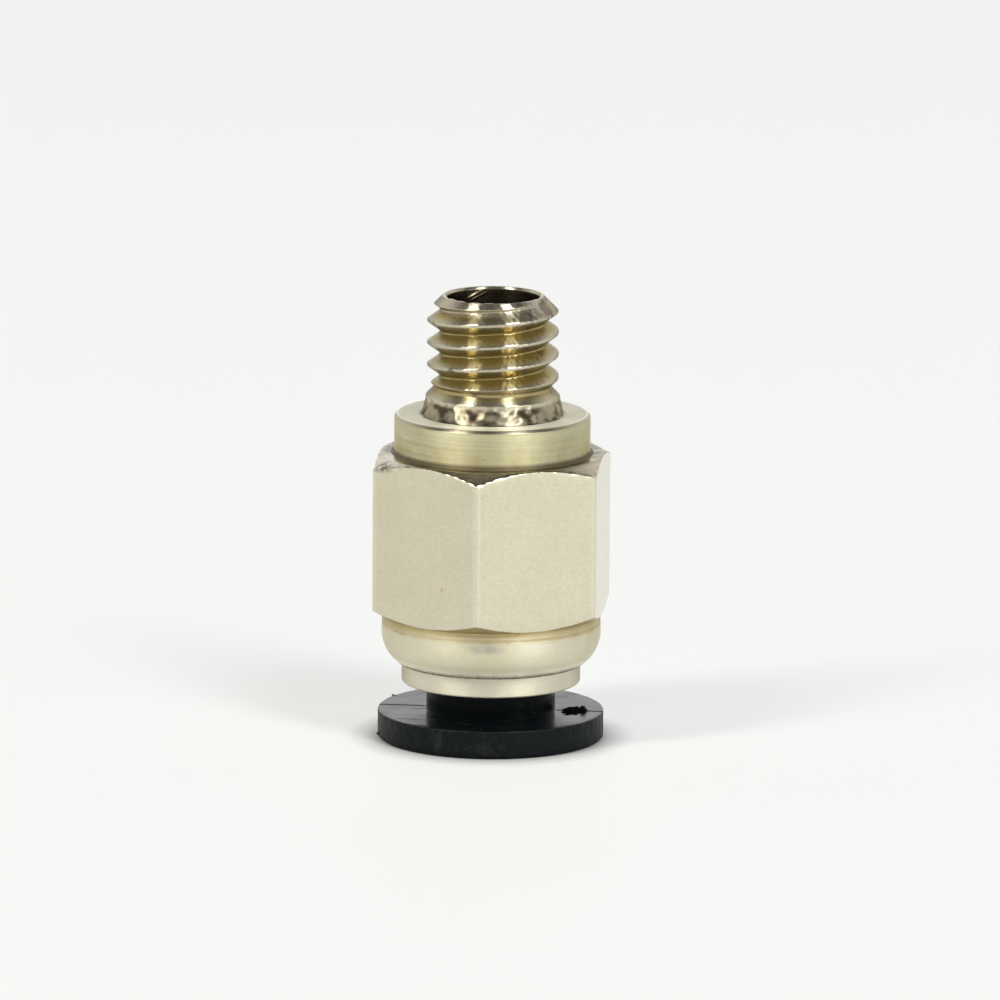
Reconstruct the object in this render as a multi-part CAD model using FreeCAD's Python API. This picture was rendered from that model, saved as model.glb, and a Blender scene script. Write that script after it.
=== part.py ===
"""Straight male push-to-connect fitting for 4 mm tube, with an M6 x 1 stem and a through bore.

The axis is +Z. The origin is the centre of the release flange's outer face, on which the fitting
stands, so the tube goes in along +Z and the threaded stem points up. All sizes are millimetres.

The body is one turned piece of hexagon bar. Its socket holds, from the mouth inwards, the guide
ring with its gripping taper, the four-fingered collet with its steel teeth, the seal retainer and
the O-ring. The body's thin lip is rolled over the guide ring's shoulder, which keeps it all in.
"""
import FreeCAD, Part
import math
import os
from collections import namedtuple

# ---------------------------------------------------------------- driving dimensions
tube_r = 2.0                    # 4 mm tube
tube_clearance = 0.05           # radial room for the tube in every guiding bore
bore_r = tube_r + tube_clearance

# Release collet: flange, neck and fingers
flange_r = 5.05
flange_thickness = 1.25
flange_foot_round = 0.2         # round on the outer edge of the resting face
flange_edge_round = 0.08        # round on the inner edge of the flange's rim
collet_r = 2.88
neck_fillet = 0.1
tube_funnel = 0.7               # 45 degree lead-in for the tube
release_gap = 1.3               # flange to guide ring with the collet fully out
release_travel = 1.2            # how far the collet pushes in
sleeve_top_z = 3.3              # where the slots between the fingers start
finger_count = 4
finger_angle = 74.0             # the rest of each quarter is slot
finger_bore_r = 2.25
finger_tip_z = 7.7
finger_tip_chamfer = 0.15
head_r = 3.3                    # outer radius of the barbed finger ends
grip_slack = 0.02               # gap between the barbs and the taper with the collet out

# Steel teeth, one in each finger
tooth_angle = 54.0
tooth_root_r = 3.05
tooth_tip_r = 1.86              # bites 0.14 mm into the tube
tooth_root_z = 6.25
tooth_thickness = 0.28          # along Z
tooth_rise = 0.6                # the tip leans this far inwards, so it bites against a pull
tooth_bevel = 0.16              # radial length of the sharpened tip

# Guide ring
rim_r = 4.0
rim_height = 0.9                # the part that stands out of the body
rim_chamfer = 0.1
throat_r = 2.95
throat_chamfer = 0.12
throat_length = 2.05
taper_deg = 20.0
guide_bore_r = 3.75
press_gap = 0.01                # radial gap that stands for a line-to-line press fit
stack_gap = 0.01                # axial gap between stacked rings
joint_overlap = 1.0             # how far a solid runs into its neighbour before the two are fused or cut

# Body, from the rolled lip up to the stem
socket_r = 4.25
barrel_r = 4.9
lip_roll_r = 1.68               # outer radius of the rolled lip
lip_roll_deg = 56.0
lip_land_r = rim_r + 0.03       # the lip's tip, just clear of the guide ring's rim
lip_land = 0.88                 # length of the lip's straight land along Z
socket_top_z = 9.9
chamber_r = 3.35                # seal chamber
chamber_top_z = 11.7
bore_lead_in = 0.2
hex_across_flats = 10.0
hex_z = 5.67
hex_length = 7.28
hex_chamfer_deg = 30.0
hex_chamfer_r = 4.95            # where the chamfers meet the hexagon's end faces
hex_edge_round = 0.18
collar_r = 4.38
collar_height = 1.75
collar_chamfer = 0.12

# Threaded stem, M6 x 1
stem_length = 5.35
stem_chamfer = 0.47             # 45 degree lead-in
port_chamfer = 0.07
pitch = 1.0
crest_r = 2.93
root_r = 2.425
crest_flat = pitch / 8
thread_flank_deg = 30.0
thread_start_deg = 187.8        # where the full-depth groove starts, and its height
thread_start_z = 16.43
thread_runout = 0.75            # turns over which the groove fades out below that
runout_exit = 0.1               # how far past the crest the fading groove ends
crest_pieces = 24               # cylinder faces per turn along the crest
neck_r = 2.66                   # turned relief between the thread and the shank
neck_z = 15.95
neck_flat = 0.14
shank_r = 2.98
shank_z = 15.4
shank_length = 0.25
flare_r = 3.17                  # foot of the flare, on the collar

# Seal and retainer
seal_r = 0.69                   # radius of the O-ring's section
seal_z = 10.85
retainer_thickness = 0.84
retainer_bore_r = 2.25
retainer_funnel = 0.6
nose_r = 3.3
nose_length = 0.22

# ---------------------------------------------------------------- heights worked out from them
guide_z = flange_thickness + release_gap
lip_z = guide_z + rim_height
barrel_z = lip_z + lip_roll_r * math.sin(math.radians(lip_roll_deg))
hex_top_z = hex_z + hex_length
collar_z = hex_top_z + collar_height
stem_z = collar_z + stem_length
taper_z = guide_z + throat_length
taper_slope = math.tan(math.radians(taper_deg))
land_top_z = lip_z + lip_land
shoulder_drop = socket_r - lip_land_r   # the 45 degree shoulder behind the lip, which holds the guide ring
retainer_top_z = socket_top_z - stack_gap
retainer_z = retainer_top_z - retainer_thickness
guide_top_z = retainer_z - stack_gap

UP = FreeCAD.Vector(0, 0, 1)
CENTRE = FreeCAD.Vector(0, 0, 0)
Through = namedtuple("Through", "r z")


# ---------------------------------------------------------------- helpers
def point(r, z):
    """A point of a half-section, in the XZ plane."""
    return FreeCAD.Vector(r, 0, z)


def half_section(*corners):
    """A closed face in the XZ plane. A Through among the (r, z) corners bends its side into an arc."""
    ring = list(corners) + [corners[0]]
    edges = []
    i = 0
    while i < len(ring) - 1:
        if isinstance(ring[i + 1], Through):
            edges.append(Part.Arc(point(*ring[i]), point(*ring[i + 1]), point(*ring[i + 2])).toShape())
            i += 2
        else:
            edges.append(Part.makeLine(point(*ring[i]), point(*ring[i + 1])))
            i += 1
    return Part.Face(Part.Wire(edges))


def turned(*corners):
    """The half-section turned all the way round Z."""
    return half_section(*corners).revolve(CENTRE, UP, 360)


def sector(azimuth_deg, width_deg, *corners):
    """The half-section turned through width_deg, centred on an azimuth."""
    piece = half_section(*corners).revolve(CENTRE, UP, width_deg)
    piece.rotate(CENTRE, UP, azimuth_deg - width_deg / 2)
    return piece


def edge_round(corner_r, corner_z, radius, side_r, side_z):
    """The middle point of a quarter round on a square corner; the sides say which way its centre lies."""
    inset = radius * (1 - math.sqrt(0.5))
    return Through(corner_r + side_r * inset, corner_z + side_z * inset)


# ---------------------------------------------------------------- thread
def thread_groove(height, start_r, end_r):
    """One stretch of the 60 degree groove, from azimuth 0 and Z 0 upwards."""
    overshoot = 0.06            # past the crest, still narrower than a pitch
    flank = math.tan(math.radians(thread_flank_deg))
    half_root = (pitch - crest_flat) / 2 - (crest_r - root_r) * flank
    half_mouth = (pitch - crest_flat) / 2 + overshoot * flank
    mouth_r = start_r + crest_r - root_r + overshoot
    corners = [point(start_r, -half_root), point(mouth_r, -half_mouth),
               point(mouth_r, half_mouth), point(start_r, half_root)]
    cone_deg = math.degrees(math.atan2(end_r - start_r, height))
    path = Part.makeLongHelix(pitch, height, start_r, cone_deg)
    sweep = Part.BRepOffsetAPI.MakePipeShell(Part.Wire(path.Edges))
    sweep.setBiNormalMode(UP)
    sweep.add(Part.makePolygon(corners + [corners[0]]))
    sweep.build()
    sweep.makeSolid()
    return sweep.shape()


def stem_blank():
    """The stem before threading. It is made of equal sectors, so that no crest face winds far round."""
    neck_low = neck_z - neck_flat / 2
    neck_high = neck_z + neck_flat / 2
    shank_top = shank_z + shank_length
    corners = [
        (bore_r, collar_z - joint_overlap),
        (flare_r, collar_z - joint_overlap),
        (flare_r, collar_z),
        (shank_r, shank_z),
        (shank_r, shank_top),
        (neck_r, neck_low),
        (neck_r, neck_high),
        (crest_r, neck_high + crest_r - neck_r),
        (crest_r, stem_z - stem_chamfer),
        (crest_r - stem_chamfer, stem_z),
        (bore_r + port_chamfer, stem_z),
        (bore_r, stem_z - port_chamfer),
    ]
    step = 360.0 / crest_pieces
    pieces = [sector(step * (i + 0.5), step, *corners) for i in range(crest_pieces)]
    return pieces[0].multiFuse(pieces[1:])


def threaded_stem():
    full_turns = stem_z - thread_start_z + pitch
    groove = thread_groove(full_turns, root_r, root_r)
    groove.rotate(CENTRE, UP, thread_start_deg)
    groove.translate(UP * thread_start_z)
    runout = thread_groove(thread_runout * pitch, crest_r + runout_exit, root_r)
    runout.rotate(CENTRE, UP, thread_start_deg - 360 * thread_runout)
    runout.translate(UP * (thread_start_z - thread_runout * pitch))
    return stem_blank().cut(groove).cut(runout)


# ---------------------------------------------------------------- body
def hexagon():
    """The hexagon bar with two flats square to X, its corners rounded and both ends chamfered."""
    corner_r = hex_across_flats / math.sqrt(3)
    corners = [
        FreeCAD.Vector(corner_r * math.cos(math.radians(a)), corner_r * math.sin(math.radians(a)), hex_z)
        for a in range(30, 391, 60)
    ]
    bar = Part.Face(Part.makePolygon(corners)).extrude(UP * hex_length)
    upright = [e for e in bar.Edges if abs(e.tangentAt(e.FirstParameter).z) > 0.99]
    bar = bar.makeFillet(hex_edge_round, upright)
    past_corner = corner_r + hex_edge_round
    drop = (past_corner - hex_chamfer_r) * math.tan(math.radians(hex_chamfer_deg))
    envelope = turned(
        (0, hex_z), (hex_chamfer_r, hex_z), (past_corner, hex_z + drop),
        (past_corner, hex_top_z - drop), (hex_chamfer_r, hex_top_z), (0, hex_top_z),
    )
    return bar.common(envelope)


def barrel_and_collar():
    """Everything turned on the outside of the body, apart from the stem."""
    roll_centre_r = barrel_r - lip_roll_r
    half = math.radians(lip_roll_deg / 2)
    full = math.radians(lip_roll_deg)
    lip_tip_r = roll_centre_r + lip_roll_r * math.cos(full)
    return turned(
        (0, lip_z),
        (lip_tip_r, lip_z),
        Through(roll_centre_r + lip_roll_r * math.cos(half), barrel_z - lip_roll_r * math.sin(half)),
        (barrel_r, barrel_z),
        (barrel_r, hex_z + joint_overlap),
        (collar_r, hex_z + joint_overlap),
        (collar_r, collar_z - collar_chamfer),
        (collar_r - collar_chamfer, collar_z),
        (0, collar_z),
    )


def socket_cavity():
    """The stepped bore: lip land, shoulder, socket, seal chamber and the tube's way through."""
    return turned(
        (0, lip_z - joint_overlap),
        (lip_land_r, lip_z - joint_overlap),
        (lip_land_r, land_top_z),
        (socket_r, land_top_z + shoulder_drop),
        (socket_r, socket_top_z),
        (chamber_r, socket_top_z),
        (chamber_r, chamber_top_z),
        (bore_r + bore_lead_in, chamber_top_z),
        (bore_r, chamber_top_z + bore_lead_in),
        (bore_r, collar_z),
        (0, collar_z),
    )


def body():
    blank = hexagon().fuse(barrel_and_collar()).cut(socket_cavity())
    passage = Part.makeCylinder(bore_r, stem_z, CENTRE, UP)
    return blank.cut(passage).fuse(threaded_stem())


# ---------------------------------------------------------------- parts in the socket
def guide_ring():
    """Plated ring whose rim shows below the lip, whose throat guides the collet, and whose taper grips it."""
    outer_r = socket_r - press_gap
    shoulder_z = land_top_z + shoulder_drop + press_gap
    taper_top_z = taper_z + (guide_bore_r - throat_r) / taper_slope
    return turned(
        (throat_r + throat_chamfer, guide_z),
        (rim_r - rim_chamfer, guide_z),
        (rim_r, guide_z + rim_chamfer),
        (rim_r, shoulder_z - (outer_r - rim_r)),
        (outer_r, shoulder_z),
        (outer_r, guide_top_z),
        (guide_bore_r, guide_top_z),
        (guide_bore_r, taper_top_z),
        (throat_r, taper_z),
        (throat_r, guide_z + throat_chamfer),
    )


def seal_retainer():
    """Washer that the guide ring holds against the socket's step. Its nose keeps the O-ring in its chamber."""
    return turned(
        (retainer_bore_r + retainer_funnel, retainer_z),
        (socket_r - 2 * press_gap, retainer_z),
        (socket_r - 2 * press_gap, retainer_top_z),
        (nose_r, retainer_top_z),
        (nose_r, socket_top_z + nose_length),
        (retainer_bore_r, socket_top_z + nose_length),
        (retainer_bore_r, retainer_z + retainer_funnel),
    )


def tube_o_ring():
    return Part.makeTorus(chamber_r - press_gap - seal_r, seal_r, point(0, seal_z), UP)


# ---------------------------------------------------------------- release collet
def collet():
    """Flange and sleeve of the moulded collet, up to where its fingers start."""
    return turned(
        (bore_r, tube_funnel),
        (bore_r + tube_funnel, 0),
        (flange_r - flange_foot_round, 0),
        edge_round(flange_r, 0, flange_foot_round, -1, 1),
        (flange_r, flange_foot_round),
        (flange_r, flange_thickness - flange_edge_round),
        edge_round(flange_r, flange_thickness, flange_edge_round, -1, -1),
        (flange_r - flange_edge_round, flange_thickness),
        (collet_r + neck_fillet, flange_thickness),
        edge_round(collet_r, flange_thickness, neck_fillet, 1, 1),
        (collet_r, flange_thickness + neck_fillet),
        (collet_r, sleeve_top_z),
        (bore_r, sleeve_top_z),
    )


def tooth_section():
    """A strip that leans inwards and up, sharpened to an edge at its tip."""
    slope = tooth_rise / (tooth_root_r - tooth_tip_r)
    tip_z = tooth_root_z + tooth_thickness + tooth_rise
    bevel_r = tooth_tip_r + tooth_bevel
    return [
        (tooth_root_r, tooth_root_z),
        (tooth_root_r, tooth_root_z + tooth_thickness),
        (tooth_tip_r, tip_z),
        (bevel_r, tooth_root_z + (tooth_root_r - bevel_r) * slope),
    ]


def collet_finger(azimuth_deg):
    """A finger with a barbed end, whose ramp meets the guide ring's taper, and a pocket for its tooth."""
    ramp_r = throat_r - grip_slack / math.cos(math.radians(taper_deg))
    blank = sector(
        azimuth_deg, finger_angle,
        (finger_bore_r, sleeve_top_z),
        (collet_r, sleeve_top_z),
        (collet_r, taper_z + (collet_r - ramp_r) / taper_slope),
        (head_r, taper_z + (head_r - ramp_r) / taper_slope),
        (head_r, finger_tip_z - finger_tip_chamfer),
        (head_r - finger_tip_chamfer, finger_tip_z),
        (finger_bore_r, finger_tip_z),
    )
    return blank.cut(gripping_tooth(azimuth_deg))


def gripping_tooth(azimuth_deg):
    return sector(azimuth_deg, tooth_angle, *tooth_section())


# ---------------------------------------------------------------- write every node
def nodes():
    made = {
        "body": body(),
        "guide_ring": guide_ring(),
        "seal_retainer": seal_retainer(),
        "tube_o_ring": tube_o_ring(),
        "release_collet": collet(),
    }
    for i in range(finger_count):
        azimuth_deg = 360.0 / finger_count * (i + 0.5)
        made[f"collet_finger_{i + 1}"] = collet_finger(azimuth_deg)
        made[f"gripping_tooth_{i + 1}"] = gripping_tooth(azimuth_deg)
    return made


os.makedirs("parts", exist_ok=True)
for name, shape in nodes().items():
    if len(shape.Solids) != 1 or not shape.isValid():
        raise ValueError(f"{name} is not one valid solid")
    shape.Solids[0].exportStep(f"parts/{name}.step")
    print(f"{name}: {shape.Volume:.3f} mm3, {len(shape.Faces)} faces")
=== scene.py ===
import math
from collections import namedtuple

import bmesh
import bpy
import numpy as np
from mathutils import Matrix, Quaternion, Vector


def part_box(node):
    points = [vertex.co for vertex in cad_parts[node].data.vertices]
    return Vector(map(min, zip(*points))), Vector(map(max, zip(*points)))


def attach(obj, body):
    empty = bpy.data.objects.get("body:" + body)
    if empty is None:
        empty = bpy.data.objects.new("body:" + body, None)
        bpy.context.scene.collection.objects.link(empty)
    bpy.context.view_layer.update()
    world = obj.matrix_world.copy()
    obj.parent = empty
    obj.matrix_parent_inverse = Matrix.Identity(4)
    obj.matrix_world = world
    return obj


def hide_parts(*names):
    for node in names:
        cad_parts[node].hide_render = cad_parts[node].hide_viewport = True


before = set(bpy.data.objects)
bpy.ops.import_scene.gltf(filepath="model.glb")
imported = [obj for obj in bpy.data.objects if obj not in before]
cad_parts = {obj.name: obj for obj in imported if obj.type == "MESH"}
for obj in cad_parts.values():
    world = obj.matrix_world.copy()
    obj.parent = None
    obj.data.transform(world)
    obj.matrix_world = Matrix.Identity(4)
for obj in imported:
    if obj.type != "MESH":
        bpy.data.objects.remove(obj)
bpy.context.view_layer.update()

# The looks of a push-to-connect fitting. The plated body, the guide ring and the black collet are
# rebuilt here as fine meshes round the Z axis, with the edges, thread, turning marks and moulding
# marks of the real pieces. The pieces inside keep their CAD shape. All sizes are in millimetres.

MM = 0.001                          # one millimetre in Blender units


def box_mm(node):
    """A node's lowest and highest corners in millimetres."""
    low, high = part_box(node)
    return low / MM, high / MM


body_low, body_high = box_mm("body")
ring_low, ring_high = box_mm("guide_ring")
collet_high = box_mm("release_collet")[1]

lip_z = body_low.z
stem_z = body_high.z
flat_r = body_high.x                # the hexagon's flats face +X and -X
socket_r = ring_high.x
rim_z = ring_low.z
flange_r = collet_high.x
sleeve_top_z = collet_high.z

# ---------------------------------------------------------------- body sizes
bore_r = 2.05
lip_land_r = 4.03
land_top_z = lip_z + 0.88
lip_roll_r = 1.68
lip_roll_deg = 56.0
barrel_r = 4.9
barrel_z = lip_z + lip_roll_r * math.sin(math.radians(lip_roll_deg))
turned_mark_z = barrel_z + 0.42     # a shallow mark round the barrel
turned_mark_depth = 0.008
hex_z = 5.67
hex_top_z = 12.95
hex_chamfer_r = 4.95
hex_chamfer_slope = math.tan(math.radians(30))
hex_corner_round = 0.18
collar_r = 4.38
collar_z = hex_top_z + 1.75
collar_chamfer = 0.12
collar_foot = 0.14                  # the concave round between collar and hexagon
foot_shade_band = 0.26                   # height of the painted shade band on it
flare_r = 3.17
shank_r = 2.98
shank_z = collar_z + 0.7
neck_r = 2.66
neck_z = 15.95
neck_flat = 0.14
socket_top_z = 9.9
chamber_r = 3.35
chamber_top_z = 11.7

# Thread
pitch = 1.0
crest_r = 2.93
crest_flat = pitch / 8
groove_half_angle = 35.5            # more than the true 30, so the groove catches the light as plating does
flank_slope = 1 / math.tan(math.radians(groove_half_angle))
groove_start_turn = 187.8 / 360
groove_start_z = 16.43
groove_runout = 0.75                # turns over which the groove fades out
runout_exit_r = crest_r + 0.1
stem_chamfer = 0.68
mouth_chamfer = 0.09
edge_blend = 0.035                  # how far the thread's edges are rounded
root_round = 0.06                   # radius of the groove's round root
apex_r = crest_r - (pitch - crest_flat) / 2 * flank_slope
root_r = apex_r + root_round
rows_per_pitch = 36

# Guide ring and collet
rim_r = 4.0
throat_r = 2.95
taper_z = rim_z + 2.05
guide_bore_r = 3.75
flange_thickness = 1.25
collet_r = 2.88
tube_funnel = 0.7

# Wear and tear
lip_dents = 0.003                   # how uneven the lip and the barrel are
edge_burr = 0.014                   # height of the burrs along the hexagon's edges
worn_edge = 0.2                     # widest worn band where the hexagon's flats meet the top chamfer
flare_crinkle = 0.03
thread_tear = 0.003                 # how far the cut thread stands off its true shape
torn_tear = 0.004                   # how much further it stands off round one azimuth
torn_turn = 0.85                    # that azimuth, in turns
torn_width = 0.07
mouth_burr = 0.016
ring_dents = 0.0025
flash_height = 0.025                # the flash along the mould's parting line
flash_width = 0.035
flake_height = 0.27                 # the flake torn up from it
flake_width = 0.07
flake_length = 0.34

# ---------------------------------------------------------------- the photograph's view
view_azimuth = 6.8
view_elevation = 11.4
view_distance = 500.0
view_width = 44.64                  # what the picture spans at the object
view_roll = 0.38
aim_height = 10.75
aim_side = 0.36


# ---------------------------------------------------------------- outlines and meshes
Corner = namedtuple("Corner", "r z cut steps", defaults=(0.0, 1))
round_steps = 4


def toward(start, end, distance):
    """The points that lie a distance from start on the way to end."""
    way = end - start
    return start + way * (distance / np.maximum(np.hypot(way[0], way[1]), 1e-9))


def outline(columns, *corners):
    """Rows of (r, z) through the corners. Each corner is rounded over its cut length."""
    points = [np.array([np.broadcast_to(c.r, columns), np.broadcast_to(c.z, columns)]) for c in corners]
    last = len(corners) - 1
    rows = []
    for i, corner in enumerate(corners):
        here = points[i]
        if np.any(corner.cut) and 0 < i < last:
            before = toward(here, points[i - 1], corner.cut)
            after = toward(here, points[i + 1], corner.cut)
            for s in np.linspace(0, 1, round_steps + 1):
                rows.append((1 - s) ** 2 * before + 2 * s * (1 - s) * here + s ** 2 * after)
        else:
            rows.append(here)
        if i < last and corner.steps > 1:
            end = toward(points[i + 1], here, corners[i + 1].cut)
            start = rows[-1]
            for s in np.linspace(0, 1, corner.steps + 1)[1:-1]:
                rows.append(start + s * (end - start))
    rows = np.array(rows)
    return rows[:, 0], rows[:, 1]


def ripple(turn, z, seed, waves, around, along):
    """Smooth noise of about -1 to 1 that closes round the axis. around and along are its finest waves."""
    draw = np.random.default_rng(seed)
    total = np.zeros(np.broadcast(turn, z).shape)
    for _ in range(waves):
        count = round(around * draw.uniform(0.25, 1))
        rate = along * draw.uniform(-1, 1)
        total = total + np.cos(2 * math.pi * (count * turn + rate * z + draw.uniform()))
    return total / math.sqrt(waves)


class PolarMesh:
    """A mesh made of grids round the Z axis. turn holds each column's azimuth in turns, from 0 to 1."""

    def __init__(self, name, turn):
        self.name = name
        self.turn = turn
        self.points = []
        self.faces = []
        self.slots = []
        self.count = 0

    def add(self, r, z, slot=0):
        rows, columns = r.shape
        angle = 2 * math.pi * self.turn
        grid = np.stack([r * np.cos(angle), r * np.sin(angle), z], axis=-1)
        self.points.append(grid.reshape(-1, 3) * MM)
        index = self.count + np.arange(rows * columns).reshape(rows, columns)
        quads = np.stack([index[:-1, :-1], index[:-1, 1:], index[1:, 1:], index[1:, :-1]], axis=-1)
        self.faces.append(quads.reshape(-1, 4))
        self.slots.append(np.full((rows - 1) * (columns - 1), slot))
        self.count += rows * columns

    def build(self, body, materials):
        mesh = bpy.data.meshes.new(self.name)
        mesh.from_pydata(np.concatenate(self.points).tolist(), [], np.concatenate(self.faces).tolist())
        mesh.polygons.foreach_set("material_index", np.concatenate(self.slots).astype(np.int32))
        shape = bmesh.new()
        shape.from_mesh(mesh)
        bmesh.ops.remove_doubles(shape, verts=shape.verts, dist=0.0005 * MM)
        shape.to_mesh(mesh)
        shape.free()
        mesh.shade_smooth()
        piece = bpy.data.objects.new(self.name, mesh)
        bpy.context.scene.collection.objects.link(piece)
        for material in materials:
            mesh.materials.append(material)
        weighted = piece.modifiers.new("Flat faces stay flat", "WEIGHTED_NORMAL")
        weighted.keep_sharp = True
        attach(piece, body)
        return piece


# ---------------------------------------------------------------- node materials
class Finish:
    """One node material, built round a Principled surface.

    place, z and r say where a point is in millimetres, and up is the Z of its normal."""

    def __init__(self, name):
        self.material = bpy.data.materials.new(name)
        self.material.use_nodes = True
        self.tree = self.material.node_tree
        self.surface = self.tree.nodes["Principled BSDF"]
        place = self.node("TexCoord").outputs["Object"]
        self.place = self.node("VectorMath", {0: place, 1: [1 / MM] * 3}, operation="MULTIPLY").outputs[0]
        self.z = self.node("SeparateXYZ", {0: self.place}).outputs["Z"]
        flat = self.node("VectorMath", {0: self.place, 1: (1, 1, 0)}, operation="MULTIPLY").outputs[0]
        self.r = self.node("VectorMath", {0: flat}, operation="LENGTH").outputs["Value"]
        self.up = self.node("SeparateXYZ", {0: self.node("TexCoord").outputs["Normal"]}).outputs["Z"]

    def node(self, kind, inputs=None, **settings):
        made = self.tree.nodes.new("ShaderNode" + kind)
        for key, value in settings.items():
            setattr(made, key, value)
        for key, value in (inputs or {}).items():
            self.feed(made.inputs[key], value)
        return made

    def feed(self, socket, value):
        if isinstance(value, bpy.types.NodeSocket):
            self.tree.links.new(value, socket)
        else:
            socket.default_value = value

    def set(self, **inputs):
        for key, value in inputs.items():
            self.feed(self.surface.inputs[key.replace("_", " ")], value)

    def noise(self, per_mm, detail=2.0, stretch=(1, 1, 1), distortion=0.0):
        """Noise with per_mm waves in each millimetre. stretch slows it down along an axis."""
        scale = [per_mm / s for s in stretch]
        moved = self.node("VectorMath", {0: self.place, 1: scale}, operation="MULTIPLY")
        values = {"Vector": moved.outputs[0], "Scale": 1.0, "Detail": detail, "Distortion": distortion}
        return self.node("TexNoise", values).outputs[0]

    def spots(self, per_mm, size):
        """1 inside scattered round spots, 0 outside."""
        cells = self.node("TexVoronoi", {"Vector": self.place, "Scale": per_mm})
        return self.spread(cells.outputs["Distance"], size, size * 0.6, 0.0, 1.0)

    def near(self, middle, size):
        """1 at a place in millimetres, and 0 beyond a box of that half size round it."""
        off = self.node("VectorMath", {0: self.place, 1: middle}, operation="SUBTRACT").outputs[0]
        off = self.node("VectorMath", {0: off, 1: size}, operation="DIVIDE").outputs[0]
        length = self.node("VectorMath", {0: off}, operation="LENGTH").outputs["Value"]
        return self.spread(length, 0.3, 1.0, 1.0, 0.0)

    def spread(self, value, low, high, to_low, to_high):
        """Maps the range low to high onto the other range, and stops at its ends."""
        values = {"Value": value, "From Min": low, "From Max": high, "To Min": to_low, "To Max": to_high}
        return self.node("MapRange", values).outputs[0]

    def calc(self, operation, a, b):
        return self.node("Math", {0: a, 1: b}, operation=operation).outputs[0]

    def mix(self, share, a, b):
        """The colour a where share is 0 and b where it is 1."""
        made = self.node("Mix", data_type="RGBA")
        self.feed(made.inputs[0], share)
        self.feed(made.inputs[6], a)
        self.feed(made.inputs[7], b)
        return made.outputs[2]

    def bump(self, height, depth_mm, normal=None):
        made = self.node("Bump", {"Height": height, "Distance": depth_mm * MM, "Strength": 1.0})
        if normal is not None:
            self.feed(made.inputs["Normal"], normal)
        return made.outputs["Normal"]


def shade(r, g, b):
    return (r, g, b, 1.0)


def plated(name, colour, thin, roughness, anisotropy, lines=0.0, grain=0.001, mottle=0.3, edge=0.85,
           marks=None):
    """Nickel plating over brass. thin is its colour where the brass shows through it.

    lines and grain are the depths of turning marks and grain, mottle is how much the colour varies,
    and edge is how bright an upright face stays at a glancing view."""
    f = Finish(name)
    patches = f.noise(0.35, 4.0)
    ring_noise = f.noise(10.0, 4.0, stretch=(60, 60, 1))
    grain_noise = f.noise(9.0, 5.0, stretch=(1.7, 1.7, 1))
    tone = f.mix(f.spread(patches, 0.4, 0.7, 0.0, 1.0), shade(*colour), shade(*thin))
    tone = f.mix(f.spread(grain_noise, 0.35, 0.65, 0.0, mottle), tone, shade(*[c * 0.84 for c in colour]))
    if lines:
        streaks = f.spread(ring_noise, 0.4, 0.75, 0.0, min(0.5, lines * 180))
        tone = f.mix(streaks, tone, shade(*[c * 0.72 for c in thin]))
    tone = f.mix(f.calc("MULTIPLY", f.spots(1.6, 0.07), 0.4), tone, shade(*[c * 0.5 for c in thin]))
    rough = f.spread(f.noise(1.1, 5.0), 0.3, 0.7, roughness * 0.88, roughness * 1.12)
    if marks:
        tone, rough = marks(f, tone, rough)
    tangent = f.node("Tangent", direction_type="RADIAL", axis="Z").outputs[0]
    normal = f.bump(grain_noise, grain)
    if lines:
        normal = f.bump(ring_noise, lines, normal)
    # Painted shade: upright faces get a darker edge tint than faces that look up, so they look darker at a
    # glancing view.
    upright_tint = shade(edge, edge * 0.97, edge * 0.9)
    tint = f.mix(f.spread(f.up, 0.7, 0.95, 0.0, 1.0), upright_tint, shade(1, 1, 0.97))
    f.set(Base_Color=tone, Metallic=1.0, Roughness=rough, Anisotropic=anisotropy,
          Anisotropic_Rotation=0.25, Tangent=tangent, Normal=normal, Specular_Tint=tint)
    return f.material


def collar_marks_and_shade(f, tone, rough):
    """Painted shade on the collar's round foot, brass showing above it, a chamfer smoother than its wall
    and painted darker as a painted dark reflection, and a top face painted lighter as a painted highlight.
    """
    worn_foot = f.spread(f.z, hex_top_z + 1.2, hex_top_z + 0.4, 0.0, 1.0)
    brassy = f.calc("MULTIPLY", worn_foot, f.spread(f.noise(0.9, 4.0), 0.42, 0.62, 0.0, 0.6))
    tone = f.mix(brassy, tone, shade(0.55, 0.46, 0.21))
    # Painted shade: the round foot is painted dark, where shade falls between the collar and the hexagon.
    foot = f.spread(f.z, hex_top_z + foot_shade_band, hex_top_z + 0.1, 0.0, 1.0)
    tone = f.mix(foot, tone, shade(0.22, 0.185, 0.11))
    # Painted dark reflection: the chamfer is painted darker, standing in for the dark room it reflects. It
    # is also smoother.
    high = f.spread(f.z, collar_z - collar_chamfer - 0.02, collar_z - collar_chamfer + 0.02, 0.0, 1.0)
    outer = f.spread(f.r, collar_r - collar_chamfer - 0.08, collar_r - collar_chamfer - 0.04, 0.0, 1.0)
    edge = f.calc("MULTIPLY", high, outer)
    tone = f.mix(edge, tone, shade(0.44, 0.38, 0.28))
    # Painted highlight: the top face is painted lighter, standing in for the light it reflects.
    top = f.calc("MULTIPLY", high, f.spread(f.up, 0.9, 0.97, 0.0, 1.0))
    tone = f.mix(top, tone, shade(0.87, 0.85, 0.69))
    return tone, f.calc("MULTIPLY", rough, f.spread(edge, 0.0, 1.0, 1.0, 0.5))


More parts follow.
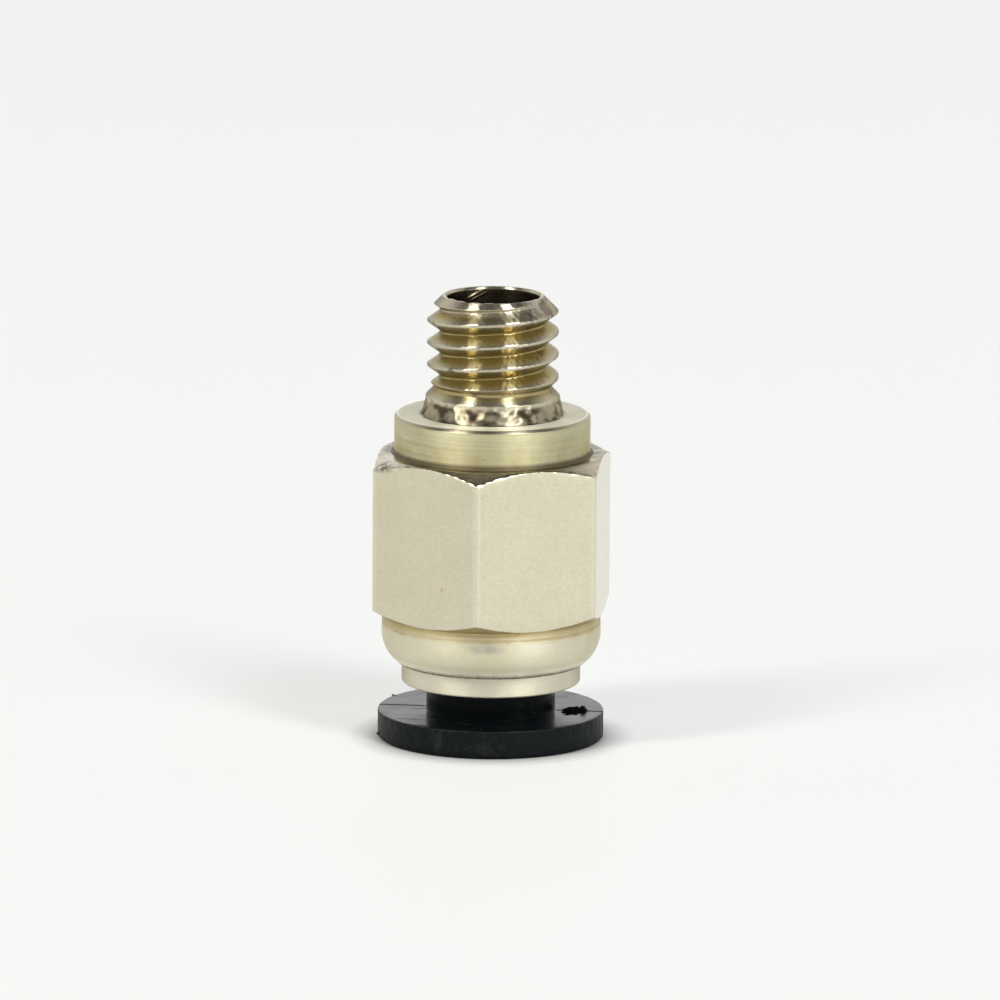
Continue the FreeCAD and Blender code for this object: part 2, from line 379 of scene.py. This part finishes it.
def thread_patches_and_shade(f, tone, rough):
    """Painted shade in the groove, patchy painted shade in the flare's crinkles, and dark patches at random
    with painted shade added by the stem's end on the right.
    """
    # Painted shade: the groove is painted darker than the crests, where shade falls inside it.
    crest = f.spread(f.r, root_r + 0.25, crest_r - 0.02, 0.0, 1.0)
    end = f.spread(f.z, stem_z - stem_chamfer, stem_z - stem_chamfer + 0.15, 0.0, 1.0)
    tone = f.mix(f.calc("MAXIMUM", crest, end), shade(0.40, 0.325, 0.145), tone)
    plain = f.spread(f.r, crest_r + 0.01, crest_r + 0.04, 0.0, 1.0)
    tone = f.mix(plain, tone, shade(0.62, 0.57, 0.42))
    flare = f.spread(f.z, shank_z + 0.05, shank_z - 0.05, 0.0, 1.0)
    # Painted shade: dark patches on the flare stand in for the shade in its crinkles.
    crinkle_shade = f.spread(f.noise(1.3, 1.0, stretch=(1, 1, 0.5)), 0.34, 0.54, 0.0, 1.0)
    crinkled = f.mix(crinkle_shade, shade(0.12, 0.095, 0.065), shade(0.45, 0.40, 0.29))
    rough = f.calc("ADD", rough, f.calc("MULTIPLY", flare, 0.12))
    # Dark patches at random, with painted shade added by the stem's end on the right, where the groove
    # starts.
    right = direction(64, 0) * crest_r
    stem_end_shade = f.near((right.x, right.y, stem_z - 0.3), (2.0, 2.0, 1.0))
    dark_patches_mask = f.calc("ADD", f.noise(1.4, 5.0), f.calc("MULTIPLY", stem_end_shade, 0.16))
    tone = f.mix(f.spread(dark_patches_mask, 0.62, 0.7, 0.0, 0.75), tone, shade(0.17, 0.135, 0.11))
    return f.mix(flare, tone, crinkled), rough


def barrel_marks_and_shade(f, tone, rough):
    """A band under the hexagon where brass shows through, a grey painted reflection of the dark room in
    front, a lip painted lighter and painted shade along the lip's lower edge.
    """
    wander = f.spread(f.noise(1.2, 4.0), 0.3, 0.7, -0.07, 0.07)
    height = f.calc("ADD", f.z, wander)
    on_barrel = f.spread(f.z, hex_z + 0.02, hex_z, 0.0, 1.0)
    band = f.calc("MULTIPLY", f.spread(height, hex_z - 0.56, hex_z - 0.34, 0.0, 1.0), on_barrel)
    fine = f.spread(f.noise(9.0, 2.0, stretch=(80, 80, 1)), 0.35, 0.65, 0.35, 1.0)
    tone = f.mix(f.calc("MULTIPLY", band, fine), tone, shade(0.50, 0.41, 0.20))
    # Painted reflection: a cloudy grey patch where the barrel faces the camera stands in for the dark room
    # it reflects.
    front = direction(view_azimuth - 3, 0)
    front_reflection = f.near((front.x * barrel_r, front.y * barrel_r, hex_z - 0.72), (1.1, 1.1, 0.3))
    cloudy_reflection = f.calc("MULTIPLY", front_reflection, f.spread(f.noise(3.0, 4.0), 0.35, 0.65, 0.3, 0.9))
    tone = f.mix(cloudy_reflection, tone, shade(0.5, 0.46, 0.40))
    # Painted highlight: the rolled lip is painted lighter, standing in for the bright floor it reflects.
    tone = f.mix(f.spread(f.z, lip_z + 0.5, lip_z + 0.15, 0.0, 0.9), tone, shade(1.0, 0.96, 0.81))
    # Painted shade: a ragged dark line along the lip's lower edge, where shade falls in the gap over the
    # guide ring.
    ragged = f.calc("ADD", f.z, f.spread(f.noise(7.0, 3.0), 0.3, 0.7, -0.05, 0.05))
    tone = f.mix(f.spread(ragged, lip_z + 0.24, lip_z + 0.02, 0.0, 0.95), tone, shade(0.12, 0.10, 0.06))
    return tone, rough


def hexagon_marks_and_light(f, tone, rough):
    """Smooth chamfers painted brown as a painted dark reflection, one corner's chamfer painted paler as a
    painted reflection of the backdrop, with a dark mark by that corner, and corners painted paler as a
    painted highlight.

    The flats are painted whiter at a glancing view as a painted reflection, and one has a fleck of red."""
    corner_r = float(hexagon_radius(np.array([1 / 12]))[0])
    # Painted highlight: the rounded corners are painted paler, where their rounding catches the light.
    worn = f.spread(f.r, corner_r - 0.09, corner_r - 0.03, 0.0, 0.2)
    tone = f.mix(worn, tone, shade(0.90, 0.84, 0.80))
    # Painted reflection: the flats are painted whiter where they are seen at a glancing angle.
    glance = f.node("LayerWeight", {"Blend": 0.5}).outputs["Facing"]
    tone = f.mix(f.spread(glance, 0.5, 0.88, 0.0, 0.7), tone, shade(0.98, 0.98, 0.96))
    side = direction(-30, 0) * flat_r + direction(60, 0) * 1.0
    fleck = f.near((side.x, side.y, 7.6), (0.10, 0.10, 0.13))
    tone = f.mix(f.calc("MULTIPLY", fleck, 0.55), tone, shade(0.75, 0.16, 0.08))
    # Painted dark reflection: the chamfers are painted brown, standing in for the dark room they reflect.
    # They are also smoother.
    chamfer = f.spread(f.calc("ABSOLUTE", f.up, 0.0), 0.35, 0.6, 0.0, 1.0)
    tone = f.mix(chamfer, tone, shade(0.55, 0.49, 0.36))
    # Painted shade: dark patches on the top chamfer by the collar's foot, where shade falls between the
    # parts.
    patchy = f.spread(f.noise(1.3, 3.0), 0.36, 0.5, 0.2, 0.95)
    foot_shade_patches = f.calc("MULTIPLY", f.spread(f.r, collar_r + 0.35, collar_r + 0.75, 1.0, 0.0), patchy)
    foot_shade_patches = f.calc("MULTIPLY", foot_shade_patches, f.spread(f.up, 0.4, 0.6, 0.0, 1.0))
    tone = f.mix(foot_shade_patches, tone, shade(0.13, 0.10, 0.055))
    corner = direction(-57, 0) * 5.4
    # A small dark mark by that corner.
    corner_dark_mark = f.near((corner.x, corner.y, hex_top_z - 0.25), (0.8, 0.8, 0.3))
    corner_dark_mark = f.calc("MULTIPLY", corner_dark_mark, f.spread(f.noise(4.0), 0.4, 0.5, 0.0, 0.8))
    # Painted reflection: one corner's chamfer is painted paler, standing in for the bright backdrop it
    # reflects.
    pale = f.calc("MULTIPLY", chamfer, f.near((corner.x, corner.y, hex_top_z), (2.2, 2.2, 1.0)))
    tone = f.mix(f.calc("MULTIPLY", pale, 0.7), tone, shade(0.82, 0.80, 0.70))
    tone = f.mix(corner_dark_mark, tone, shade(0.10, 0.08, 0.06))
    return tone, f.calc("MULTIPLY", rough, f.spread(chamfer, 0.0, 1.0, 1.0, 0.4))


def black_acetal():
    """Moulded acetal: near black, glossy on top of the flange, dull and speckled round its rim."""
    f = Finish("black_acetal")
    dull = f.spread(f.up, 0.85, 0.3, 0.0, 1.0)
    dull = f.calc("MULTIPLY", dull, f.spread(f.r, collet_r + 0.2, collet_r + 0.6, 0.0, 1.0))
    scuffs = f.spread(f.noise(3.0, 6.0, stretch=(6, 1, 3), distortion=0.6), 0.62, 0.72, 0.0, 0.25)
    speckle = f.calc("MULTIPLY", f.spread(f.noise(12.0, 4.0), 0.5, 0.72, 0.0, 0.27), dull)
    dust = f.calc("MULTIPLY", f.spots(2.3, 0.09), 0.2)
    tone = f.mix(f.noise(0.6, 3.0), shade(0.002, 0.003, 0.0035), shade(0.004, 0.006, 0.007))
    tone = f.mix(speckle, tone, shade(0.035, 0.04, 0.042))
    tone = f.mix(f.calc("MAXIMUM", scuffs, dust), tone, shade(0.06, 0.062, 0.063))
    uneven = f.spread(f.noise(1.4, 4.0), 0.3, 0.7, -0.03, 0.06)
    rough = f.calc("ADD", f.calc("ADD", f.spread(dull, 0.0, 1.0, 0.17, 0.44), uneven), scuffs)
    normal = f.bump(f.noise(0.9, 3.0), 0.012)
    pebbles = f.calc("MULTIPLY", f.noise(9.0, 3.0), f.spread(dull, 0.0, 1.0, 0.12, 1.0))
    normal = f.bump(pebbles, 0.02, normal)
    gloss = f.spread(f.up, 0.3, 0.85, 0.1, 0.5)
    gloss = f.calc("MULTIPLY", gloss, f.spread(f.r, collet_r, collet_r + 0.1, 0.4, 1.0))
    # Painted shade: the flange's top loses all gloss in a patch by the flake, so it shows black there.
    torn = f.near((rim_r - 0.27, -0.1, flange_thickness), (0.8, 1.3, 0.5))
    torn = f.calc("ADD", torn, f.noise(3.5, 3.0))
    gloss = f.calc("MULTIPLY", gloss, f.spread(torn, 0.75, 1.0, 1.0, 0.0))
    f.set(Base_Color=tone, Roughness=rough, Normal=normal, Specular_IOR_Level=gloss)
    return f.material


def natural_nylon():
    f = Finish("natural_nylon")
    tone = f.mix(f.noise(0.8, 4.0), shade(0.74, 0.71, 0.62), shade(0.83, 0.81, 0.74))
    normal = f.bump(f.noise(6.0, 4.0), 0.004)
    f.set(Base_Color=tone, Roughness=f.spread(f.noise(2.0), 0.3, 0.7, 0.4, 0.55), Normal=normal)
    return f.material


def nitrile_rubber():
    f = Finish("nitrile_rubber")
    tone = f.mix(f.noise(1.5, 4.0), shade(0.012, 0.012, 0.012), shade(0.026, 0.026, 0.025))
    normal = f.bump(f.noise(10.0, 4.0), 0.004)
    f.set(Base_Color=tone, Roughness=f.spread(f.noise(1.2), 0.3, 0.7, 0.28, 0.5), Normal=normal)
    return f.material


def stainless_steel():
    f = Finish("stainless_steel")
    rolled = f.noise(16.0, 3.0, stretch=(1, 1, 12))
    tone = f.mix(rolled, shade(0.5, 0.49, 0.47), shade(0.64, 0.63, 0.61))
    f.set(Base_Color=tone, Metallic=1.0, Roughness=f.spread(rolled, 0.3, 0.7, 0.2, 0.34),
          Normal=f.bump(rolled, 0.003))
    return f.material


# ---------------------------------------------------------------- body
def hexagon_columns():
    """Azimuths in turns that follow the hexagon's flats and rounded corners, from a flat's middle round."""
    centre = (flat_r - hex_corner_round) / math.cos(math.radians(30))
    bends = np.radians(np.linspace(-30, 30, 9))
    corner = np.arctan2(hex_corner_round * np.sin(bends), centre + hex_corner_round * np.cos(bends))
    corner = np.degrees(corner)
    flat = np.linspace(corner[-1] - 30, corner[0] + 30, 41)[1:-1]
    sixth = np.concatenate([flat, corner + 30])
    whole = np.concatenate([sixth + 60 * k for k in range(6)])
    whole = np.sort(np.mod(np.append(whole, 0.0), 360))
    whole = whole[np.concatenate([[True], np.diff(whole) > 1e-4])]
    return np.append(whole, 360.0) / 360


def hexagon_radius(turn):
    """The hexagon's radius at each azimuth, corners rounded."""
    off = np.radians(np.mod(turn * 360 + 30, 60) - 30)
    flat = flat_r / np.cos(off)
    centre = (flat_r - hex_corner_round) / math.cos(math.radians(30))
    side = math.radians(30) - np.abs(off)
    inside = np.maximum(hex_corner_round ** 2 - (centre * np.sin(side)) ** 2, 0)
    corner = centre * np.cos(side) + np.sqrt(inside)
    return np.where(inside > 0, np.minimum(flat, corner), flat)


def soft_min(a, b, width):
    """The smaller of a and b, blended where they are within width of each other."""
    h = np.maximum(width - np.abs(a - b), 0) / width
    return np.minimum(a, b) - h * h * width / 4


def stem_radius(turn, z):
    """The threaded stem's radius: the groove, its run-out, the relief below and the chamfer on top."""
    along = turn - groove_start_turn
    groove = np.round((z - groove_start_z) / pitch - along)
    progress = along + groove
    fade = np.clip(-progress / groove_runout, 0, 1)
    off = np.abs(z - groove_start_z - progress * pitch)
    root = root_r + root_round - np.sqrt(np.maximum(root_round ** 2 - off ** 2, 0))
    section = np.where(off < root_round * math.cos(math.radians(30)), root, apex_r + off * flank_slope)
    threaded = section + fade * (runout_exit_r - root_r)
    threaded = np.where(progress < -groove_runout, crest_r, threaded)
    radius = soft_min(threaded, crest_r + 0 * z, edge_blend)
    relief = neck_r + np.maximum(np.abs(z - neck_z) - neck_flat / 2, 0)
    radius = soft_min(radius, relief, edge_blend)
    chamfer = crest_r - (z - (stem_z - stem_chamfer))
    return soft_min(radius, chamfer, edge_blend)


def lip_and_barrel(turn):
    """From the lip's inner land, round its rolled edge and up the barrel to the hexagon."""
    n = turn.shape
    centre_r = barrel_r - lip_roll_r
    bends = np.radians(np.linspace(-lip_roll_deg, 0, 20))
    roll = [Corner(centre_r + lip_roll_r * math.cos(a), barrel_z + lip_roll_r * math.sin(a)) for a in bends]
    r, z = outline(
        n,
        Corner(lip_land_r, land_top_z, steps=4),
        Corner(lip_land_r, lip_z, 0.03),
        Corner(roll[0].r, lip_z, 0.035),
        *roll[1:],
        Corner(barrel_r, turned_mark_z - 0.04, 0.02, 3),
        Corner(barrel_r - turned_mark_depth, turned_mark_z, 0.02),
        Corner(barrel_r - turned_mark_depth / 2, turned_mark_z + 0.05, 0.02, 4),
        Corner(barrel_r - 0.01, hex_z),
    )
    outside = r > lip_land_r + 0.05
    r = r + outside * lip_dents * ripple(turn, z, 11, 14, 40, 1.2)
    return r, z


def hexagon(turn):
    """The hexagon with its chamfered ends, whose edges carry small burrs."""
    n = turn.shape
    corner_r = hexagon_radius(turn)
    drop = (corner_r - hex_chamfer_r) * hex_chamfer_slope
    burr = edge_burr * ripple(turn, 0.0, 21, 24, 120, 0)
    nibble = edge_burr * np.abs(ripple(turn, 0.0, 22, 24, 100, 0))
    edge = np.minimum(worn_edge, (corner_r - hex_chamfer_r) * 0.7)
    worn = edge * np.clip(0.55 + 0.5 * ripple(turn, 0.0, 23, 24, 110, 0), 0.1, 0.95)
    return outline(
        n,
        Corner(barrel_r - 0.01, hex_z),
        Corner(hex_chamfer_r, hex_z, 0.02, 3),
        Corner(corner_r, hex_z + drop + nibble, 0.035, 16),
        Corner(corner_r + burr * 0.6, hex_top_z - drop - nibble + burr, worn, 2),
        Corner(corner_r - edge, hex_top_z - drop + edge * hex_chamfer_slope, steps=4),
        Corner(hex_chamfer_r, hex_top_z, 0.012, 4),
        Corner(collar_r + collar_foot, hex_top_z),
    )


def collar(turn):
    """The collar, from the round at its foot to its top face."""
    return outline(
        turn.shape,
        Corner(collar_r + collar_foot, hex_top_z),
        Corner(collar_r, hex_top_z, collar_foot * 0.95, 8),
        Corner(collar_r, collar_z - collar_chamfer, 0.03, 2),
        Corner(collar_r - collar_chamfer, collar_z, 0.03, 6),
        Corner(flare_r + 0.1, collar_z),
    )


def shank(turn):
    """The crinkled flare above the collar, the plain shank and half of the relief."""
    low = neck_z - neck_flat / 2
    r, z = outline(
        turn.shape,
        Corner(flare_r + 0.1, collar_z),
        Corner(flare_r, collar_z, 0.05, 10),
        Corner(shank_r, shank_z, 0.06, 8),
        Corner(shank_r, low - (shank_r - neck_r), 0.03, 4),
        Corner(neck_r, low, 0.02, 2),
        Corner(neck_r, neck_z),
    )
    on_flare = np.clip((z - collar_z) / 0.08, 0, 1) * np.clip((shank_z + 0.25 - z) / 0.3, 0, 1)
    crinkle = ripple(turn, z, 31, 20, 32, 1.7)
    return r + flare_crinkle * on_flare * crinkle, z


def thread_tears(turn, z):
    """How far the cut metal stands off its true shape. It is roughest round one azimuth."""
    torn = np.exp(-((turn - torn_turn) / torn_width) ** 2)
    return (thread_tear + torn_tear * torn) * ripple(turn, z, 41, 20, 60, 4.0)


def thread(turn):
    """The thread as a grid that climbs with it, cut level at its foot and at the stem's end."""
    rows = np.arange(neck_z - pitch, stem_z + pitch / rows_per_pitch, pitch / rows_per_pitch)
    z = np.clip(rows[:, None] + pitch * turn[None, :], neck_z, stem_z)
    held = np.clip((z - neck_z) / 0.1, 0, 1)
    return stem_radius(turn, z) + thread_tears(turn, z) * held, z


def stem_mouth(turn):
    """The narrow ring at the stem's end, with its small burrs, and the chamfer into the bore."""
    edge = np.full(turn.shape, stem_z)
    burr = mouth_burr * ripple(turn, 0.0, 42, 20, 26, 0)
    return outline(
        turn.shape,
        Corner(stem_radius(turn, edge) + thread_tears(turn, edge), stem_z, steps=3),
        Corner(bore_r + mouth_chamfer, stem_z + burr, 0.03, 3),
        Corner(bore_r, stem_z - mouth_chamfer),
    )


def bore_and_socket(turn):
    """From the stem's mouth down the bore, through the seal chamber and the socket to the lip."""
    r, z = outline(
        turn.shape,
        Corner(bore_r, stem_z - mouth_chamfer, steps=30),
        Corner(bore_r, stem_z - 1.4, steps=8),
        Corner(bore_r, chamber_top_z + 0.2, 0.05),
        Corner(bore_r + 0.2, chamber_top_z, 0.03, 3),
        Corner(chamber_r, chamber_top_z, 0.05, 4),
        Corner(chamber_r, socket_top_z, 0.03, 3),
        Corner(socket_r + 0.01, socket_top_z, 0.04, 8),
        Corner(socket_r + 0.01, land_top_z + 0.22, 0.03),
        Corner(lip_land_r, land_top_z),
    )
    # Two strands of swarf lie on the bore's back wall, just under the mouth.
    swarf = 0
    for middle, drop, size in ((0.331, 0.30, 0.06), (0.322, 0.42, 0.035)):
        along = (turn - middle) * 2 * math.pi * bore_r
        off = z - (stem_z - drop) + along * 0.46
        swarf = swarf + size * np.exp(-(off / 0.04) ** 2) * np.exp(-(along / 0.36) ** 4)
    return r - swarf * (r < bore_r + 0.001), z


def build_body():
    turn = hexagon_columns()
    mesh = PolarMesh("plated_body", turn)
    mesh.add(*lip_and_barrel(turn), slot=4)
    mesh.add(*hexagon(turn), slot=1)
    mesh.add(*collar(turn), slot=0)
    mesh.add(*shank(turn), slot=2)
    mesh.add(*thread(turn), slot=2)
    mesh.add(*stem_mouth(turn), slot=2)
    mesh.add(*bore_and_socket(turn), slot=3)
    turned = plated("turned_nickel", (0.685, 0.655, 0.445), (0.635, 0.585, 0.365), 0.64, 0.72,
                    lines=0.003, edge=0.98, marks=collar_marks_and_shade)
    drawn = plated("drawn_nickel", (0.675, 0.64, 0.49), (0.645, 0.605, 0.45), 0.5, 0.0,
                   grain=0.003, mottle=0.55, marks=hexagon_marks_and_light)
    thread_finish = plated("thread_nickel", (0.60, 0.55, 0.43), (0.57, 0.51, 0.36), 0.27, 0.93,
                           lines=0.001, mottle=0.6, edge=0.45, marks=thread_patches_and_shade)
    # Painted shade: the bore's brass is painted very dark, standing in for the shade deep inside it.
    dark_bore = plated("bore_painted_dark", (0.165, 0.14, 0.09), (0.13, 0.105, 0.065), 0.25, 0.6, lines=0.004)
    rolled = plated("rolled_nickel", (0.74, 0.705, 0.555), (0.70, 0.655, 0.48), 0.58, 0.55,
                    lines=0.0006, mottle=0.3, edge=0.9, marks=barrel_marks_and_shade)
    piece = mesh.build("body", [turned, drawn, thread_finish, dark_bore, rolled])
    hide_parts("body")


# ---------------------------------------------------------------- guide ring
def build_guide_ring():
    turn = np.linspace(0, 1, 289)
    n = turn.shape
    top = ring_high.z
    taper_top = taper_z + (guide_bore_r - throat_r) / math.tan(math.radians(20))
    shoulder = land_top_z + 0.23
    r, z = outline(
        n,
        Corner(throat_r, taper_z, steps=4),
        Corner(throat_r, rim_z + 0.12, 0.04),
        Corner(throat_r + 0.12, rim_z, 0.04, 5),
        Corner(rim_r - 0.06, rim_z, 0.03),
        Corner(rim_r, rim_z + 0.06, 0.03, 10),
        Corner(rim_r, shoulder - (socket_r - rim_r), 0.03, 2),
        Corner(socket_r, shoulder, 0.03, 6),
        Corner(socket_r, top, 0.05, 3),
        Corner(guide_bore_r, top, 0.05, 4),
        Corner(guide_bore_r, taper_top, 0.05, 8),
        Corner(throat_r, taper_z),
    )
    r = r + ring_dents * ripple(turn, z, 51, 14, 36, 1.0) * (r > rim_r - 0.07)
    mesh = PolarMesh("plated_guide_ring", turn)
    mesh.add(r, z)
    finish = plated("ring_nickel", (0.77, 0.735, 0.60), (0.73, 0.69, 0.54), 0.52, 0.65, lines=0.0008,
                    edge=0.5)
    piece = mesh.build("body", [finish])
    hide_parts("guide_ring")


# ---------------------------------------------------------------- collet
def collet_columns():
    """Even azimuths, with close ones by the mould's parting line at both ends of the X axis."""
    near = np.array([0.2, 0.4, 0.6, 0.8, 1.05, 1.4])
    even = np.arange(2, 179, 0.75)
    half = np.concatenate([[0], near, even, 180 - near[::-1]])
    return np.append(np.concatenate([half, half + 180]), 360) / 360


def parting_line(x, y):
    """Heights of the flash where the two mould halves met, and of a flake torn up outside the ring."""
    line = flash_height * np.exp(-(y / flash_width) ** 2)
    torn = np.clip((x - rim_r - 0.03) / 0.05, 0, 1) * np.clip((rim_r + flake_length - x) / 0.16, 0, 1)
    ragged = 1 + 0.3 * np.sin(x * 19.0) * np.sin(x * 7.3)
    return line, flake_height * torn * ragged * np.exp(-(y / flake_width) ** 2)


def nib(turn, z, middle, height, size):
    """A crumb of flash on the flange's rim."""
    across = (turn - middle) * 2 * math.pi * flange_r
    return size * np.exp(-(across / 0.07) ** 2 - ((z - height) / 0.09) ** 2)


def build_collet():
    turn = collet_columns()
    angle = 2 * math.pi * turn
    r, z = outline(
        turn.shape,
        Corner(bore_r, sleeve_top_z, steps=6),
        Corner(bore_r, tube_funnel, 0.08, 5),
        Corner(bore_r + tube_funnel, 0, 0.06, 8),
        Corner(flange_r, 0, 0.2, 12),
        Corner(flange_r, flange_thickness, 0.07, 14),
        Corner(collet_r, flange_thickness, 0.012, 12),
        Corner(collet_r, sleeve_top_z, 0.03, 3),
        Corner(bore_r, sleeve_top_z),
    )
    line, flake = parting_line(r * np.cos(angle), r * np.sin(angle))
    on_top = (z > flange_thickness - 0.08) & (r > collet_r + 0.05)
    on_rim = (r > flange_r - 0.2) & (z > 0.02)
    on_sleeve = (r < collet_r + 0.05) & (r > bore_r + 0.1) & (z > flange_thickness)
    crumbs = nib(turn, z, 157 / 360, flange_thickness, 0.1) + nib(turn, z, 193 / 360, 0.12, 0.12)
    z = z + on_top * (line + flake + 0.004 * ripple(turn, r, 61, 16, 14, 0.8)) + on_rim * 0.5 * crumbs
    grain = 0.007 * ripple(turn, z, 62, 30, 70, 2.0)
    r = r + on_rim * (0.5 * line + grain + crumbs) + on_sleeve * 0.4 * line
    mesh = PolarMesh("moulded_collet", turn)
    mesh.add(r, z)
    piece = mesh.build("collet", [black_acetal()])
    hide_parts("release_collet")


# ---------------------------------------------------------------- pieces that keep their CAD shape
def finish_inner_pieces():
    acetal = bpy.data.materials["black_acetal"]
    steel = stainless_steel()
    finishes = {"seal_retainer": natural_nylon(), "tube_o_ring": nitrile_rubber()}
    for i in range(1, 5):
        finishes[f"collet_finger_{i}"] = acetal
        finishes[f"gripping_tooth_{i}"] = steel
    for node, material in finishes.items():
        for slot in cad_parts[node].material_slots:
            slot.material = material


# ---------------------------------------------------------------- floor, light and camera
def direction(azimuth, elevation):
    """Unit vector towards something seen from the object. Azimuth 0 is -Y, and 90 is +X."""
    a = math.radians(azimuth)
    e = math.radians(elevation)
    return Vector((math.sin(a) * math.cos(e), -math.cos(a) * math.cos(e), math.sin(e)))


def build_floor():
    mesh = bpy.data.meshes.new("floor")
    shape = bmesh.new()
    bmesh.ops.create_circle(shape, cap_ends=True, segments=96, radius=2.5)
    shape.to_mesh(mesh)
    shape.free()
    floor = bpy.data.objects.new("floor", mesh)
    bpy.context.scene.collection.objects.link(floor)
    f = Finish("white_floor")
    tone = f.mix(f.noise(0.01, 2.0), shade(0.35, 0.36, 0.355), shade(0.36, 0.37, 0.365))
    # The floor's own light dies away where something stands close over it.
    open_sky = f.node("AmbientOcclusion", {"Distance": 1.6 * MM}, samples=8).outputs["AO"]
    f.set(Base_Color=tone, Roughness=0.6, Specular_IOR_Level=0.2, Emission_Color=shade(1, 1, 1),
          Emission_Strength=f.spread(open_sky, 0.45, 1.0, 0.0, 0.488))
    # Seen from below, the floor lets the view through to the fitting's underside.
    clear = f.node("BsdfTransparent").outputs[0]
    under = f.node("NewGeometry").outputs["Backfacing"]
    mixed = f.node("MixShader", {0: under, 1: f.surface.outputs[0], 2: clear}).outputs[0]
    f.feed(f.tree.nodes["Material Output"].inputs["Surface"], mixed)
    mesh.materials.append(f.material)


def softbox(name, azimuth, elevation, distance, width, height, radiance, colour):
    """A rectangular light that faces the object. Azimuth is from the camera, to the right."""
    data = bpy.data.lights.new(name, "AREA")
    data.shape = "RECTANGLE"
    data.size = width * MM
    data.size_y = height * MM
    data.energy = radiance * math.pi * data.size * data.size_y
    data.color = colour
    lamp = bpy.data.objects.new(name, data)
    away = direction(view_azimuth + azimuth, elevation)
    lamp.location = Vector((0, 0, stem_z / 2 * MM)) + away * distance * MM
    lamp.rotation_mode = "QUATERNION"
    lamp.rotation_quaternion = away.to_track_quat("Z", "Y")
    bpy.context.scene.collection.objects.link(lamp)


def build_world():
    """A white backdrop behind the object and a darker room on the camera's side."""
    world = bpy.data.worlds.new("studio")
    bpy.context.scene.world = world
    world.use_nodes = True
    tree = world.node_tree
    ground = tree.nodes["Background"]

    def spread(value, low, high, to_low, to_high):
        made = tree.nodes.new("ShaderNodeMapRange")
        made.interpolation_type = "SMOOTHSTEP"
        tree.links.new(value, made.inputs["Value"])
        ends = {"From Min": low, "From Max": high, "To Min": to_low, "To Max": to_high}
        for key, number in ends.items():
            made.inputs[key].default_value = number
        return made.outputs[0]

    def combine(operation, a, b):
        made = tree.nodes.new("ShaderNodeMath")
        made.operation = operation
        tree.links.new(a, made.inputs[0])
        tree.links.new(b, made.inputs[1])
        return made.outputs[0]

    ray = tree.nodes.new("ShaderNodeTexCoord").outputs["Generated"]
    split = tree.nodes.new("ShaderNodeSeparateXYZ")
    tree.links.new(ray, split.inputs[0])
    front = tree.nodes.new("ShaderNodeVectorMath")
    front.operation = "DOT_PRODUCT"
    tree.links.new(ray, front.inputs[0])
    front.inputs[1].default_value = direction(view_azimuth, 0)
    behind = spread(front.outputs["Value"], -0.5, 0.5, 0.92, 0.0)
    low_down = spread(split.outputs["Z"], 0.45, 1.0, 1.0, 0.0)
    backdrop = combine("MULTIPLY", behind, low_down)
    horizon = spread(split.outputs["Z"], 0.0, 0.6, 0.95, 0.14)
    lit = combine("MAXIMUM", backdrop, horizon)
    camera_ray = tree.nodes.new("ShaderNodeLightPath").outputs["Is Camera Ray"]
    chosen = tree.nodes.new("ShaderNodeMix")
    tree.links.new(camera_ray, chosen.inputs[0])
    tree.links.new(lit, chosen.inputs[2])
    chosen.inputs[3].default_value = 0.93
    tree.links.new(chosen.outputs[0], ground.inputs["Strength"])
    ground.inputs["Color"].default_value = (1.0, 1.0, 0.995, 1.0)


def build_camera():
    data = bpy.data.cameras.new("camera")
    data.sensor_width = 36.0
    data.lens = data.sensor_width * view_distance / view_width
    data.clip_start = 0.01
    data.clip_end = 10.0
    camera = bpy.data.objects.new("camera", data)
    away = direction(view_azimuth, view_elevation)
    right = direction(view_azimuth + 90, 0)
    target = Vector((0, 0, aim_height)) + right * aim_side
    camera.location = (target + away * view_distance) * MM
    camera.rotation_mode = "QUATERNION"
    turn = away.to_track_quat("Z", "Y")
    camera.rotation_quaternion = turn @ Quaternion((0, 0, 1), math.radians(view_roll))
    bpy.context.scene.collection.objects.link(camera)
    bpy.context.scene.camera = camera


def build_stage():
    build_floor()
    build_world()
    softbox("left_softbox", -54, 45, 1500, 260, 780, 20.0, (1.0, 0.97, 0.88))
    softbox("right_softbox", 37, 45, 1500, 330, 780, 17.3, (1.0, 1.0, 0.98))
    softbox("right_card", 52, 14, 1500, 700, 700, 1.3, (1.0, 1.0, 0.99))
    build_camera()
    bpy.context.scene.view_settings.view_transform = "Standard"


build_body()
build_guide_ring()
build_collet()
finish_inner_pieces()
build_stage()
